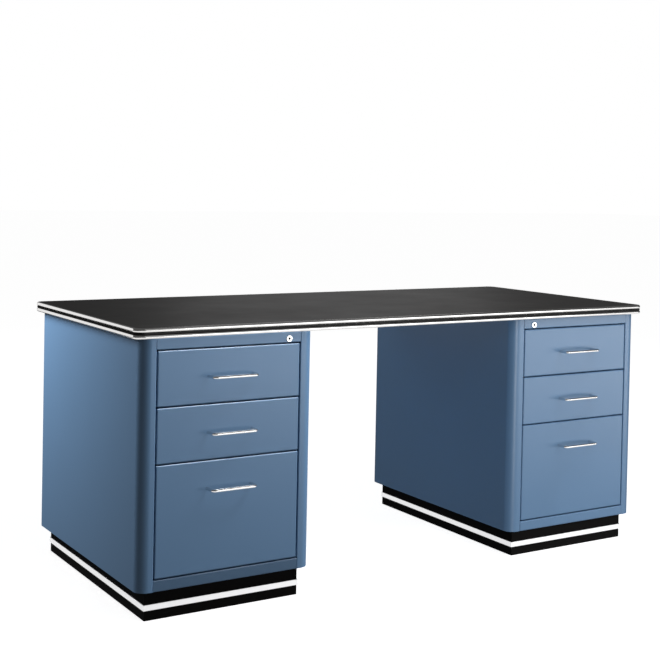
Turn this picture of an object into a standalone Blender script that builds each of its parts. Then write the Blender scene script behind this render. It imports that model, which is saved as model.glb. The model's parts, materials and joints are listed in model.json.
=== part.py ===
"""Steel teacher's desk: a lined worktop with a beaded metal edge on two three-drawer pedestals.

Metres, +Z up, +X to the right of someone who stands at the drawers' side and faces it, which is -Y.
The origin is on the floor, at the centre of the box that holds the whole desk, handles included.
"""

import math

import bmesh
import bpy
from mathutils import Matrix

# Overall sizes
DESK_WIDTH = 1.750
DESK_DEPTH = 0.770  # of the worktop with its trim, without the handles
DESK_HEIGHT = 0.750
FIT_GAP = 0.0003  # left between two pieces that touch

# Worktop: board, lining on it, beaded metal trim round it, dark insert in the trim's groove
TOP_THICKNESS = 0.0278
TOP_CORNER_RADIUS = 0.026
LINING_THICKNESS = 0.0022
TRIM_WEB = 0.0028
BEAD_HEIGHT = 0.0110
BEAD_DEPTH = 0.0042
INSERT_RECESS = 0.0010  # of the insert's face behind the beads' crest
INSERT_BACK_GAP = 0.0003
SIDE_OVERHANG = 0.021
FRONT_OVERHANG = 0.015
BACK_OVERHANG = 0.005

# Pedestal casing
PEDESTAL_WIDTH = 0.504
PEDESTAL_RADIUS = 0.030
SHEET = 0.0012
BEND_RADIUS = 0.0025
FLANGE_WIDTH = 0.042
FLANGE_RETURN = 0.010
TOP_RAIL_HEIGHT = 0.0296
BOTTOM_RAIL_HEIGHT = 0.0288
RAIL_RETURN = 0.012
DRAWER_GAP = 0.003
DRAWERS = (("file", 2), ("middle", 1), ("top", 1))  # name and height in units, from the bottom up

# Plinth
PLINTH_HEIGHT = 0.0785
PLINTH_SIDE_INSET = 0.028
PLINTH_FRONT_INSET = 0.022
PLINTH_BACK_INSET = 0.030
PLINTH_BOARD = 0.018
BAND_BOTTOM = 0.0268
BAND_HEIGHT = 0.0150
BAND_THICKNESS = 0.0025

# Drawer front and box
FRONT_DEPTH = 0.018
FRONT_SHEET = 0.0010
FRONT_EDGE_RADIUS = 0.0025
FRONT_LIP = 0.020  # of the front's turned-in rim, which the box is fixed to
BOX_SHEET = 0.0010
BOX_FLOOR_RISE = 0.012  # of the box above the front's lower edge
BOX_RIM_DROP = 0.033  # of the box's rim below the front's upper edge
BOX_REAR_CLEARANCE = 0.064

# Handle: a rod bent to a D
HANDLE_SPACING = 0.128
HANDLE_REACH = 0.035  # from the front to the rod's centre line
HANDLE_RADIUS = 0.004
HANDLE_BEND = 0.010
HANDLE_DROP = 0.0715  # below the front's upper edge

# Runners: a channel in the pedestal and a rail on the drawer, each carrying the other on a roller
RUNNER_CLEARANCE = 0.002  # from the casing's flange edge to the drawer's rail
SLIDE_GAP = 0.001
ROLLER_GAP = 0.0004
STRIP = 0.0015  # thickness of the runners' and frames' steel
RUNNER_RISE = 0.045  # of the runner's centre line above the front's lower edge
CHANNEL_HEIGHT = 0.045
CHANNEL_DEPTH = 0.013
CHANNEL_FRONT = 0.038
CHANNEL_BACK = 0.045
RAIL_HEIGHT = 0.030
RAIL_DEPTH = 0.0057
FRONT_ROLLER_RADIUS = 0.009
REAR_ROLLER_RADIUS = 0.010
ROLLER_END_OFFSET = 0.012  # of a roller's centre from its channel's or rail's end

# Frame that the channels are welded to
UPRIGHT_FLANGE = 0.020
UPRIGHT_FRONT = 0.070
UPRIGHT_BACK = 0.055
CROSSBAR_THICKNESS = 0.003
CROSSBAR_HEIGHT = 0.030
CROSSBAR_INSET = 0.040  # from the frame's top and bottom

# Central lock: cylinder in the top rail, whose eccentric pin lifts a bar with a hook for each drawer
LOCK_INSET = 0.0787  # of the lock's axis from the pedestal's kneehole side
LOCK_RISE = 0.0112  # of the lock's axis above the top rail's lower edge
ROSETTE_RADIUS = 0.009
ROSETTE_DEPTH = 0.0025
BARREL_RADIUS = 0.0079
BARREL_LENGTH = 0.0135
PLUG_RADIUS = 0.0060
PLUG_CLEARANCE = 0.0002
PLUG_FACE_RECESS = 0.0006
KEYWAY = (0.0018, 0.0070, 0.004)  # width, height and depth
CAM_DISC_THICKNESS = 0.0025
CAM_THROW = 0.006
CAM_PIN_RADIUS = 0.002
CAM_PIN_ANGLE = math.radians(45)  # below the horizontal when unlocked, above it when locked
CAM_PIN_CLEARANCE = 0.0005
BAR_THICKNESS = 0.002
BAR_WIDTH = 0.012
BAR_FRONT = 0.014  # of the bar behind the pedestal's front
BAR_COVER = 0.008  # of the bar's near face behind the casing's flange, from the flange's edge
ARM_HEIGHT = 0.012
HOOK_WIDTH = 0.006
HOOK_HEIGHT = 0.006
HOOK_REACH = 0.003  # of a hook past the rail's outer edge
HOOK_RISE = 0.003  # of a hook's underside above the rail
CATCH_GAP = 0.002  # between a hook and the catch that it holds
CATCH_HEIGHT = 0.008
CATCH_LENGTH = 0.016
GUIDE_CLEARANCE = 0.0005  # round the bar where it slides through an ear of each channel
GUIDE_RIM = 0.003
BAR_TAIL = 0.010  # of the bar below its lowest guide

# Facets
CORNER_STEPS = 6
BEND_STEPS = 3
BEAD_STEPS = 6
ROUND_SIDES = 24
ROLLER_SIDES = 12

# Places that follow from the sizes
TRIM_DEPTH = TRIM_WEB + BEAD_DEPTH
PEDESTAL_DEPTH = DESK_DEPTH - FRONT_OVERHANG - BACK_OVERHANG
PEDESTAL_TOP = DESK_HEIGHT - TOP_THICKNESS - FIT_GAP
TOP_CENTRE_Y = max(0.0, HANDLE_REACH + HANDLE_RADIUS - FRONT_OVERHANG) / 2
PEDESTAL_FRONT_Y = TOP_CENTRE_Y - DESK_DEPTH / 2 + FRONT_OVERHANG
PEDESTAL_CENTRE_X = (DESK_WIDTH - PEDESTAL_WIDTH) / 2 - SIDE_OVERHANG
OPENING_BOTTOM = PLINTH_HEIGHT + BOTTOM_RAIL_HEIGHT
OPENING_TOP = PEDESTAL_TOP - TOP_RAIL_HEIGHT
UNIT_HEIGHT = (OPENING_TOP - OPENING_BOTTOM - DRAWER_GAP) / sum(units for _, units in DRAWERS)
RAIL_START = FLANGE_WIDTH + RUNNER_CLEARANCE
CHANNEL_LIP = RAIL_START - SLIDE_GAP
CHANNEL_START = CHANNEL_LIP - CHANNEL_DEPTH
BOX_INSET = RAIL_START + RAIL_DEPTH + FIT_GAP
BOX_BACK = PEDESTAL_DEPTH - BOX_REAR_CLEARANCE
LOCK_Z = OPENING_TOP + LOCK_RISE
BAR_INSET = FLANGE_WIDTH - BAR_COVER
CAM_PIN_DROP = CAM_THROW * math.sin(CAM_PIN_ANGLE)
HOOK_BACK = BAR_FRONT + BAR_WIDTH

PAINTS = {
    "blue_lacquer": ((0.13, 0.24, 0.42), 0.35, 0.0),
    "black_lacquer": ((0.012, 0.012, 0.013), 0.45, 0.0),
    "black_lining": ((0.035, 0.033, 0.031), 0.6, 0.0),
    "black_insert": ((0.01, 0.01, 0.01), 0.5, 0.0),
    "nickel": ((0.75, 0.74, 0.72), 0.12, 1.0),
    "satin_metal": ((0.62, 0.62, 0.62), 0.35, 1.0),
    "zinc_steel": ((0.42, 0.43, 0.44), 0.4, 1.0),
    "board": ((0.45, 0.33, 0.22), 0.8, 0.0),
}


def clear_scene():
    for obj in list(bpy.data.objects):
        bpy.data.objects.remove(obj, do_unlink=True)


def new_collection(name):
    made = bpy.data.collections.new(name)
    bpy.context.scene.collection.children.link(made)
    return made


def material(name):
    """The paint or metal of that name, made the first time it is asked for."""
    made = bpy.data.materials.get(name)
    if made:
        return made
    colour, roughness, metallic = PAINTS[name]
    made = bpy.data.materials.new(name)
    made.use_nodes = True
    shader = made.node_tree.nodes["Principled BSDF"]
    shader.inputs["Base Color"].default_value = (*colour, 1.0)
    shader.inputs["Roughness"].default_value = roughness
    shader.inputs["Metallic"].default_value = metallic
    return made


def anchor(name, location, parent=None):
    """An empty that pieces are placed from."""
    empty = bpy.data.objects.new(name, None)
    empty.location = location
    empty.parent = parent
    PARTS.objects.link(empty)
    return empty


def add(name, bm, paint, parent, collection=None):
    """The bmesh as a named object, with its faces turned outwards."""
    bmesh.ops.recalc_face_normals(bm, faces=bm.faces)
    mesh = bpy.data.meshes.new(name)
    bm.to_mesh(mesh)
    bm.free()
    obj = bpy.data.objects.new(name, mesh)
    obj.parent = parent
    (collection or PARTS).objects.link(obj)
    if paint:
        mesh.materials.append(material(paint))
    return obj


def helper(name, bm, parent, collection):
    """A solid that a Boolean joins or cuts, and that isn't a piece itself."""
    obj = add(name, bm, None, parent, collection)
    obj.hide_render = True
    obj.display_type = "WIRE"
    return obj


def box(low, high):
    bm = bmesh.new()
    bmesh.ops.create_cube(bm, size=1.0)
    size = [abs(b - a) for a, b in zip(low, high)]
    middle = [(a + b) / 2 for a, b in zip(low, high)]
    bmesh.ops.scale(bm, vec=size, verts=bm.verts)
    bmesh.ops.translate(bm, vec=middle, verts=bm.verts)
    return bm


def cylinder(centre, radius, low, high, axis, sides):
    """A cylinder along axis X or Y from low to high, round a centre given on the two other axes."""
    bm = bmesh.new()
    bmesh.ops.create_cone(
        bm, cap_ends=True, segments=sides, radius1=radius, radius2=radius, depth=abs(high - low)
    )
    middle = (low + high) / 2
    if axis == "X":
        turn, place = Matrix.Rotation(math.pi / 2, 3, "Y"), (middle, centre[0], centre[1])
    else:
        turn, place = Matrix.Rotation(math.pi / 2, 3, "X"), (centre[0], middle, centre[1])
    bmesh.ops.rotate(bm, verts=bm.verts, matrix=turn)
    bmesh.ops.translate(bm, vec=place, verts=bm.verts)
    return bm


def prism(outline, axis, low, high):
    """An outline, in the plane across axis, extruded from low to high along it."""
    spread = {
        "X": lambda a, b, c: (c, a, b),
        "Y": lambda a, b, c: (a, c, b),
        "Z": lambda a, b, c: (a, b, c),
    }[axis]
    bm = bmesh.new()
    face = bm.faces.new([bm.verts.new(spread(a, b, low)) for a, b in outline])
    made = bmesh.ops.extrude_face_region(bm, geom=[face])["geom"]
    ends = [v for v in made if isinstance(v, bmesh.types.BMVert)]
    bmesh.ops.translate(bm, vec=spread(0.0, 0.0, high - low), verts=ends)
    return bm


def arc(centre, radius, start, end, steps):
    """Points round a centre, from one angle to another in degrees."""
    angles = [math.radians(start + (end - start) * i / steps) for i in range(steps + 1)]
    return [(centre[0] + radius * math.cos(a), centre[1] + radius * math.sin(a)) for a in angles]


def rounded_rectangle(left, right, front, back, radius):
    """Anticlockwise from the front right corner, seen from above."""
    points = []
    corners = ((right, front, -90), (right, back, 0), (left, back, 90), (left, front, 180))
    for x, y, start in corners:
        centre = (x - math.copysign(radius, x - (left + right) / 2),
                  y - math.copysign(radius, y - (front + back) / 2))
        points += arc(centre, radius, start, start + 90, CORNER_STEPS)
    return points


def wall(path, low, high, closed):
    """An upright surface along an anticlockwise path, facing outwards, for a Solidify to thicken."""
    bm = bmesh.new()
    foot = [bm.verts.new((x, y, low)) for x, y in path]
    pairs = list(zip(foot, foot[1:])) + ([(foot[-1], foot[0])] if closed else [])
    edges = [bm.edges.new(pair) for pair in pairs]
    made = bmesh.ops.extrude_edge_only(bm, edges=edges)["geom"]
    rim = [v for v in made if isinstance(v, bmesh.types.BMVert)]
    bmesh.ops.translate(bm, vec=(0, 0, high - low), verts=rim)
    return bm


def thicken(obj, thickness):
    """Gives a surface its wall, on the side that its faces don't look to."""
    solidify = obj.modifiers.new("wall", "SOLIDIFY")
    solidify.thickness = thickness
    solidify.offset = -1
    solidify.use_even_offset = True


def walled(name, path, low, high, closed, thickness, paint, parent):
    """A sheet bent along a path seen from above."""
    bm = wall(path, low, high, closed)
    bm.normal_update()
    mesh = bpy.data.meshes.new(name)
    if sum(f.normal.x * f.calc_center_median().x for f in bm.faces) < 0:
        bmesh.ops.reverse_faces(bm, faces=bm.faces)
    bm.to_mesh(mesh)
    bm.free()
    obj = bpy.data.objects.new(name, mesh)
    obj.parent = parent
    PARTS.objects.link(obj)
    mesh.materials.append(material(paint))
    thicken(obj, thickness)
    return obj


def boolean(obj, operation, others):
    """Joins or cuts obj by a group of helper solids."""
    modifier = obj.modifiers.new(operation.lower(), "BOOLEAN")
    modifier.operation = operation
    modifier.solver = "EXACT"
    modifier.operand_type = "COLLECTION"
    modifier.collection = others


def welded(name, solids, paint, parent, cuts=()):
    """One piece from overlapping solids, less the cuts."""
    first, *rest = solids
    obj = add(name, first, paint, parent)
    if rest:
        joined = helper_collection(name + "_joined")
        for i, solid in enumerate(rest):
            helper(f"{name}_join_{i}", solid, parent, joined)
        boolean(obj, "UNION", joined)
    if cuts:
        cutters = helper_collection(name + "_cuts")
        for i, solid in enumerate(cuts):
            helper(f"{name}_cut_{i}", solid, parent, cutters)
        boolean(obj, "DIFFERENCE", cutters)
    return obj


def helper_collection(name):
    made = bpy.data.collections.new(name)
    CUTTERS.children.link(made)
    return made


def trim_section():
    """The trim's section as (distance out from its inner face, height): two beads with a groove between."""
    points = [(0.0, 0.0)]
    for foot in (0.0, TOP_THICKNESS - BEAD_HEIGHT):
        for i in range(BEAD_STEPS + 1):
            turn = math.pi * i / BEAD_STEPS
            out = TRIM_WEB + BEAD_DEPTH * math.sin(turn)
            points.append((out, foot + BEAD_HEIGHT * (1 - math.cos(turn)) / 2))
    return points + [(0.0, TOP_THICKNESS)]


def build_trim(parent):
    """The section carried round the top: along each side, then a quarter turn about the corner's centre."""
    x, y = DESK_WIDTH / 2 - TOP_CORNER_RADIUS, DESK_DEPTH / 2 - TOP_CORNER_RADIUS
    inner = x + TOP_CORNER_RADIUS - TRIM_DEPTH
    bm = bmesh.new()
    section = [bm.verts.new((inner + out, -y, height)) for out, height in trim_section()]
    edges = [bm.edges.new(pair) for pair in zip(section, section[1:] + section[:1])]
    sides = (
        (x, y, (0, 2 * y, 0)),
        (-x, y, (-2 * x, 0, 0)),
        (-x, -y, (0, -2 * y, 0)),
        (x, -y, (2 * x, 0, 0)),
    )
    for corner_x, corner_y, run in sides:
        made = bmesh.ops.extrude_edge_only(bm, edges=edges)["geom"]
        verts = [v for v in made if isinstance(v, bmesh.types.BMVert)]
        bmesh.ops.translate(bm, vec=run, verts=verts)
        edges = [e for e in bm.edges if e.verts[0] in verts and e.verts[1] in verts]
        made = bmesh.ops.spin(
            bm, geom=verts + edges, cent=(corner_x, corner_y, 0), axis=(0, 0, 1),
            angle=math.pi / 2, steps=CORNER_STEPS,
        )["geom_last"]
        edges = [e for e in made if isinstance(e, bmesh.types.BMEdge)]
    bmesh.ops.remove_doubles(bm, verts=bm.verts, dist=FIT_GAP / 10)
    add("edge_trim", bm, "nickel", parent)


def top_outline(inset):
    """The worktop's outline, moved in from its outermost edge."""
    x, y = DESK_WIDTH / 2 - inset, DESK_DEPTH / 2 - inset
    return rounded_rectangle(-x, x, -y, y, TOP_CORNER_RADIUS - inset)


def build_worktop():
    top = anchor("worktop_anchor", (0, TOP_CENTRE_Y, DESK_HEIGHT - TOP_THICKNESS))
    board_top = TOP_THICKNESS - LINING_THICKNESS - FIT_GAP
    outline = top_outline(TRIM_DEPTH + FIT_GAP)
    add("worktop_board", prism(outline, "Z", 0.0, board_top), "board", top)
    lining = prism(outline, "Z", board_top + FIT_GAP, TOP_THICKNESS)
    add("worktop_lining", lining, "black_lining", top)
    build_trim(top)
    walled(
        "edge_insert", top_outline(INSERT_RECESS), BEAD_HEIGHT + FIT_GAP,
        TOP_THICKNESS - BEAD_HEIGHT - FIT_GAP, True,
        BEAD_DEPTH - INSERT_RECESS - INSERT_BACK_GAP, "black_insert", top,
    )


def across(side, inset):
    """The x of something that far in from the pedestal's left (-1) or right (1) outer face."""
    return side * (PEDESTAL_WIDTH / 2 - inset)


def casing_path():
    """The casing's outer face from above: front flange, side, back, side, front flange."""
    half, depth, bend = PEDESTAL_WIDTH / 2, PEDESTAL_DEPTH, BEND_RADIUS
    edge = half - FLANGE_WIDTH
    right = [(edge, FLANGE_RETURN)]
    right += arc((edge + bend, bend), bend, 180, 270, BEND_STEPS)
    right += arc((half - PEDESTAL_RADIUS, PEDESTAL_RADIUS), PEDESTAL_RADIUS, -90, 0, CORNER_STEPS)
    right += arc((half - PEDESTAL_RADIUS, depth - PEDESTAL_RADIUS), PEDESTAL_RADIUS, 0, 90, CORNER_STEPS)
    return right + [(-x, y) for x, y in reversed(right)]


def pan_outline():
    """A plate that fits inside the casing, notched round the returns of its front flanges."""
    inset = SHEET + FIT_GAP
    half, back = PEDESTAL_WIDTH / 2, PEDESTAL_DEPTH - inset
    fit = rounded_rectangle(inset - half, half - inset, inset, back, PEDESTAL_RADIUS - inset)
    edge, notch_end = half - FLANGE_WIDTH, FLANGE_RETURN + FIT_GAP
    outer, inner = edge + BEND_RADIUS + FIT_GAP, edge - FIT_GAP
    notch = [(outer, inset), (outer, notch_end), (inner, notch_end), (inner, inset)]
    return [(-x, y) for x, y in notch] + notch[::-1] + fit


def rail_section(edge, plate_edge):
    """A front rail's section as (depth, height): plate, front face, and the return at the drawer's edge."""
    way = math.copysign(1.0, edge - plate_edge)
    bend, inner = BEND_RADIUS, BEND_RADIUS - SHEET
    height = edge - way * bend
    outer_arc = [(bend - bend * math.cos(t), height + way * bend * math.sin(t)) for t in bend_angles()]
    inner_arc = [(bend - inner * math.cos(t), height + way * inner * math.sin(t)) for t in bend_angles()]
    outer = [(2 * RAIL_RETURN, plate_edge), (0.0, plate_edge)] + outer_arc + [(RAIL_RETURN, edge)]
    back = [(RAIL_RETURN, edge - way * SHEET)] + inner_arc[::-1]
    return outer + back + [(SHEET, plate_edge + way * SHEET), (2 * RAIL_RETURN, plate_edge + way * SHEET)]


def bend_angles():
    return [math.pi / 2 * i / BEND_STEPS for i in range(BEND_STEPS + 1)]


def build_pan(name, plate_edge, edge, parent, cuts=()):
    """The casing's top or bottom plate with the front rail folded from it."""
    into = math.copysign(SHEET, edge - plate_edge)
    low, high = sorted((plate_edge, plate_edge + into))
    reach = PEDESTAL_WIDTH / 2 - FLANGE_WIDTH - FIT_GAP
    rail = prism(rail_section(edge, plate_edge), "X", -reach, reach)
    plate = prism(pan_outline(), "Z", low, high)
    return welded(name, [plate, rail], "blue_lacquer", parent, cuts)


def build_plinth(label, parent):
    half = PEDESTAL_WIDTH / 2 - PLINTH_SIDE_INSET
    front, back = PLINTH_FRONT_INSET, PEDESTAL_DEPTH - PLINTH_BACK_INSET
    path = [(half, front), (half, back), (-half, back), (-half, front)]
    top = PLINTH_HEIGHT - FIT_GAP
    walled(label + "_plinth", path, 0.0, top, True, PLINTH_BOARD, "black_lacquer", parent)
    out = FIT_GAP + BAND_THICKNESS
    path = [(x + math.copysign(out, x), y + (out if y == back else -out)) for x, y in path]
    walled(
        label + "_plinth_band", path, BAND_BOTTOM, BAND_BOTTOM + BAND_HEIGHT, True,
        BAND_THICKNESS, "satin_metal", parent,
    )


def channel_solids(side, height):
    """One fixed channel with its front roller, on one side of the pedestal."""
    web, lip, half = CHANNEL_START, CHANNEL_LIP, CHANNEL_HEIGHT / 2
    section = [
        (web, -half), (lip, -half), (lip, STRIP - half), (web + STRIP, STRIP - half),
        (web + STRIP, half - STRIP), (lip, half - STRIP), (lip, half), (web, half),
    ]
    outline = [(across(side, x), height + z) for x, z in section]
    channel = prism(outline, "Y", CHANNEL_FRONT, PEDESTAL_DEPTH - CHANNEL_BACK)
    inside_rail = RAIL_HEIGHT / 2 - STRIP
    roller_z = height + inside_rail - ROLLER_GAP - FRONT_ROLLER_RADIUS
    roller_end = RAIL_START + RAIL_DEPTH - STRIP - SLIDE_GAP
    low, high = sorted((across(side, web + STRIP / 2), across(side, roller_end)))
    roller_y = CHANNEL_FRONT + ROLLER_END_OFFSET
    roller = cylinder((roller_y, roller_z), FRONT_ROLLER_RADIUS, low, high, "X", ROLLER_SIDES)
    return [channel, roller]


def upright_solid(side, y, turn):
    """An L-section upright against the casing's side, its web out to the channels."""
    wall_x, web_x = SHEET + FIT_GAP, CHANNEL_START + STRIP / 2
    section = [
        (wall_x, 0.0), (web_x, 0.0), (web_x, STRIP), (wall_x + STRIP, STRIP),
        (wall_x + STRIP, UPRIGHT_FLANGE), (wall_x, UPRIGHT_FLANGE),
    ]
    outline = [(across(side, x), y + turn * d) for x, d in section]
    return prism(outline, "Z", PLINTH_HEIGHT + SHEET + FIT_GAP, PEDESTAL_TOP - SHEET - FIT_GAP)


def guide_solids(kneehole, height):
    """The ear on a channel that the lock bar slides through, and the slot in it."""
    foot = height - CHANNEL_HEIGHT / 2
    bar_end = BAR_INSET + BAR_THICKNESS
    near, far = sorted((across(kneehole, CHANNEL_START), across(kneehole, bar_end + GUIDE_RIM)))
    ear = box((near, BAR_FRONT - GUIDE_RIM, foot), (far, CHANNEL_FRONT + STRIP, foot + STRIP))
    ends = (across(kneehole, BAR_INSET - GUIDE_CLEARANCE), across(kneehole, bar_end + GUIDE_CLEARANCE))
    near, far = sorted(ends)
    slot = box(
        (near, BAR_FRONT - GUIDE_CLEARANCE, foot - STRIP),
        (far, HOOK_BACK + GUIDE_CLEARANCE, foot + 2 * STRIP),
    )
    return ear, slot


def build_runner_frame(label, kneehole, runner_heights, parent):
    solids, slots = [], []
    for height in runner_heights:
        ear, slot = guide_solids(kneehole, height)
        solids.append(ear)
        slots.append(slot)
    back = PEDESTAL_DEPTH - UPRIGHT_BACK
    for side in (-1, 1):
        solids += [upright_solid(side, UPRIGHT_FRONT, -1), upright_solid(side, back, 1)]
        for height in runner_heights:
            solids += channel_solids(side, height)
    reach = PEDESTAL_WIDTH / 2 - CHANNEL_START + STRIP
    low, high = PLINTH_HEIGHT + CROSSBAR_INSET, PEDESTAL_TOP - CROSSBAR_INSET
    for foot in (low, high - CROSSBAR_HEIGHT):
        corner = (-reach, back - STRIP / 2, foot)
        solids.append(box(corner, (reach, back - STRIP / 2 + CROSSBAR_THICKNESS, foot + CROSSBAR_HEIGHT)))
    return welded(label + "_runner_frame", solids, "zinc_steel", parent, slots)


def build_handle(name, z, parent):
    """A rod bent to a D, its two ends against the drawer's front."""
    half, reach, bend = HANDLE_SPACING / 2, HANDLE_REACH, HANDLE_BEND
    right = [(half, -FIT_GAP)] + arc((half - bend, bend - reach), bend, 0, -90, CORNER_STEPS)
    path = right + [(-x, y) for x, y in reversed(right)]
    curve = bpy.data.curves.new(name, "CURVE")
    curve.dimensions = "3D"
    curve.bevel_depth = HANDLE_RADIUS
    curve.bevel_resolution = 2
    curve.use_fill_caps = True
    spline = curve.splines.new("POLY")
    spline.points.add(len(path) - 1)
    for point, (x, y) in zip(spline.points, path):
        point.co = (x, y, 0.0, 1.0)
    curve.materials.append(material("nickel"))
    obj = bpy.data.objects.new(name, curve)
    obj.location.z = z
    obj.parent = parent
    PARTS.objects.link(obj)
    return obj


def build_front(name, height, parent):
    """A pressed pan with rounded edges and a turned-in rim at its back."""
    half = PEDESTAL_WIDTH / 2 - FLANGE_WIDTH - DRAWER_GAP
    bm = box((-half, 0.0, 0.0), (half, FRONT_DEPTH, height))
    back = [max(bm.faces, key=lambda face: face.calc_center_median().y)]
    bmesh.ops.inset_individual(bm, faces=back, thickness=FRONT_LIP)
    bmesh.ops.delete(bm, geom=back, context="FACES_ONLY")
    obj = add(name, bm, "blue_lacquer", parent)
    bevel = obj.modifiers.new("pressed_edges", "BEVEL")
    bevel.width = FRONT_EDGE_RADIUS
    bevel.segments = BEND_STEPS
    thicken(obj, FRONT_SHEET)
    return obj


def build_box(name, height, parent):
    """The open-topped sheet box behind a drawer's front."""
    half = PEDESTAL_WIDTH / 2 - BOX_INSET
    low = (-half, FRONT_DEPTH + FIT_GAP, BOX_FLOOR_RISE)
    high = (half, BOX_BACK, height - BOX_RIM_DROP)
    bm = box(low, high)
    lid = [max(bm.faces, key=lambda face: face.calc_center_median().z)]
    bmesh.ops.delete(bm, geom=lid, context="FACES_ONLY")
    obj = add(name, bm, "zinc_steel", parent)
    thicken(obj, BOX_SHEET)
    return obj


def build_rail(name, side, parent):
    """The drawer's own rail with its rear roller."""
    start, end, half = RAIL_START, RAIL_START + RAIL_DEPTH, RAIL_HEIGHT / 2
    web = end - STRIP
    section = [
        (start, -half), (end, -half), (end, half), (start, half),
        (start, half - STRIP), (web, half - STRIP), (web, STRIP - half), (start, STRIP - half),
    ]
    outline = [(across(side, x), RUNNER_RISE + z) for x, z in section]
    rail = prism(outline, "Y", FRONT_DEPTH + 2 * FIT_GAP, BOX_BACK)
    roller_z = RUNNER_RISE - CHANNEL_HEIGHT / 2 + STRIP + ROLLER_GAP + REAR_ROLLER_RADIUS
    roller_start = CHANNEL_START + STRIP + SLIDE_GAP
    low, high = sorted((across(side, roller_start), across(side, web + STRIP / 2)))
    roller_y = BOX_BACK - ROLLER_END_OFFSET
    roller = cylinder((roller_y, roller_z), REAR_ROLLER_RADIUS, low, high, "X", ROLLER_SIDES)
    welded(name, [rail, roller], "zinc_steel", parent)


def build_catch(name, side, parent):
    """The block on the box's side that the lock bar's hook stands in front of when locked."""
    front = HOOK_BACK + CATCH_GAP
    foot = RUNNER_RISE + RAIL_HEIGHT / 2 + HOOK_RISE + HOOK_HEIGHT + CATCH_GAP
    near, far = sorted((across(side, RAIL_START), across(side, BOX_INSET - FIT_GAP)))
    catch = box((near, front, foot), (far, front + CATCH_LENGTH, foot + CATCH_HEIGHT))
    add(name, catch, "zinc_steel", parent)


def build_lock_bar(label, kneehole, runner_heights, parent):
    """The upright bar with a hook for each drawer, and the arm that the lock's pin lifts."""
    arm_z = LOCK_Z - CAM_PIN_DROP
    hook_foot = RAIL_HEIGHT / 2 + HOOK_RISE + FIT_GAP
    hook_front = HOOK_BACK - HOOK_WIDTH
    root = across(kneehole, BAR_INSET + BAR_THICKNESS / 2)
    solids = []
    near, far = sorted((across(kneehole, BAR_INSET), across(kneehole, BAR_INSET + BAR_THICKNESS)))
    foot = min(runner_heights) - CHANNEL_HEIGHT / 2 - BAR_TAIL
    solids.append(box((near, BAR_FRONT, foot), (far, HOOK_BACK, arm_z + ARM_HEIGHT / 2)))
    near, far = sorted((root, across(kneehole, RAIL_START + HOOK_REACH)))
    for height in runner_heights:
        low = height + hook_foot
        solids.append(box((near, hook_front, low), (far, HOOK_BACK - FIT_GAP, low + HOOK_HEIGHT)))
    near, far = sorted((root, across(kneehole, LOCK_INSET + CAM_PIN_RADIUS)))
    half = ARM_HEIGHT / 2 - FIT_GAP
    solids.append(box((near, hook_front, arm_z - half), (far, hook_front + BAR_THICKNESS, arm_z + half)))
    play = CAM_PIN_RADIUS + CAM_PIN_CLEARANCE
    slot_ends = (
        across(kneehole, LOCK_INSET - CAM_THROW - play),
        across(kneehole, LOCK_INSET - CAM_THROW * math.cos(CAM_PIN_ANGLE) + play),
    )
    near, far = sorted(slot_ends)
    slot_back = hook_front + 2 * BAR_THICKNESS
    slot = box((near, hook_front - BAR_THICKNESS, arm_z - play), (far, slot_back, arm_z + play))
    return welded(label + "_lock_bar", solids, "zinc_steel", parent, [slot])


def build_lock(label, kneehole, parent):
    """The lock's fixed barrel, and the plug that turns in it with the pin on its back."""
    axis = anchor(label + "_lock_axis", (across(kneehole, LOCK_INSET), 0, LOCK_Z), parent)
    bore = PLUG_RADIUS + PLUG_CLEARANCE
    front = -ROSETTE_DEPTH - FIT_GAP
    rosette = cylinder((0, 0), ROSETTE_RADIUS, front, -FIT_GAP, "Y", ROUND_SIDES)
    barrel = cylinder((0, 0), BARREL_RADIUS, front / 2, BARREL_LENGTH, "Y", ROUND_SIDES)
    hole = cylinder((0, 0), bore, 2 * front, 2 * BARREL_LENGTH, "Y", ROUND_SIDES)
    welded(label + "_lock_barrel", [rosette, barrel], "nickel", axis, [hole])
    face = front + PLUG_FACE_RECESS
    disc_front = BARREL_LENGTH + FIT_GAP
    disc_back = disc_front + CAM_DISC_THICKNESS
    plug = cylinder((0, 0), PLUG_RADIUS, face, disc_front + CAM_DISC_THICKNESS / 2, "Y", ROUND_SIDES)
    disc = cylinder((0, 0), CAM_THROW + CAM_PIN_RADIUS, disc_front, disc_back, "Y", ROUND_SIDES)
    offset = (kneehole * CAM_THROW * math.cos(CAM_PIN_ANGLE), -CAM_PIN_DROP)
    pin_back = HOOK_BACK - HOOK_WIDTH + BAR_THICKNESS + SLIDE_GAP
    pin_front = disc_back - CAM_DISC_THICKNESS / 2
    pin = cylinder(offset, CAM_PIN_RADIUS, pin_front, pin_back, "Y", ROLLER_SIDES)
    width, height, depth = KEYWAY
    keyway = box((-width / 2, face - depth, -height / 2), (width / 2, face + depth, height / 2))
    welded(label + "_lock_plug", [plug, disc, pin], "nickel", axis, [keyway])


def build_drawer(label, drawer, units, bottom, kneehole, parent):
    """One drawer at its place in the pedestal, its empty at the front's lower edge."""
    height = units * UNIT_HEIGHT - DRAWER_GAP
    name = f"{label}_{drawer}_drawer"
    place = anchor(name + "_anchor", (0, 0, bottom), parent)
    build_front(name + "_front", height, place)
    build_box(name + "_box", height, place)
    build_handle(name + "_handle", height - HANDLE_DROP, place)
    build_rail(name + "_rail_kneehole_side", kneehole, place)
    build_rail(name + "_rail_outer_side", -kneehole, place)
    build_catch(name + "_catch", kneehole, place)


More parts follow.
